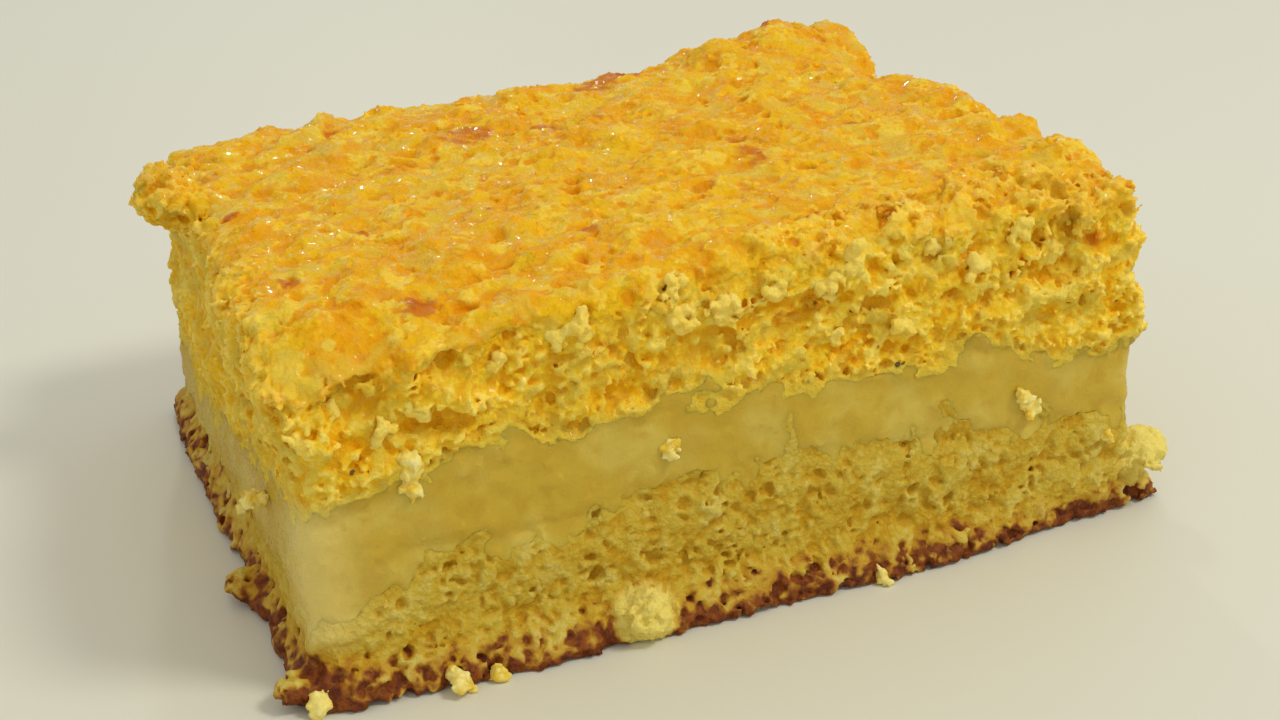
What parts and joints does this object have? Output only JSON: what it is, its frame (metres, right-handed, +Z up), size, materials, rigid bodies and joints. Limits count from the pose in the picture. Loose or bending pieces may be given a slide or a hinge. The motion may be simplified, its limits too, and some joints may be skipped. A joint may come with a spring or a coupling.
{
  "type": "cornmeal cake",
  "caption": "Cut block of cornmeal cake: fine lower crumb on a browned base, a smooth cream band, and a coarse upper crumb with a craggy golden top.",
  "frame": {"origin": "middle of the underside, on the surface the cake rests on", "axes": "+X along the long front face to the right, +Y back from the front cut face, +Z up"},
  "size_m": [0.0852, 0.0638, 0.0339],
  "materials": {
    "lower_crumb": "fine moist yellow sponge crumb on a dark browned base",
    "cream": "smooth, dense, slightly translucent set cream with a soft sheen",
    "upper_crumb": "coarse golden crumb under a browned, craggy top"
  },
  "bodies": {
    "root": {"lower_crumb": "lower_crumb", "cream_layer": "cream", "upper_crumb": "upper_crumb"}
  },
  "joints": []
}
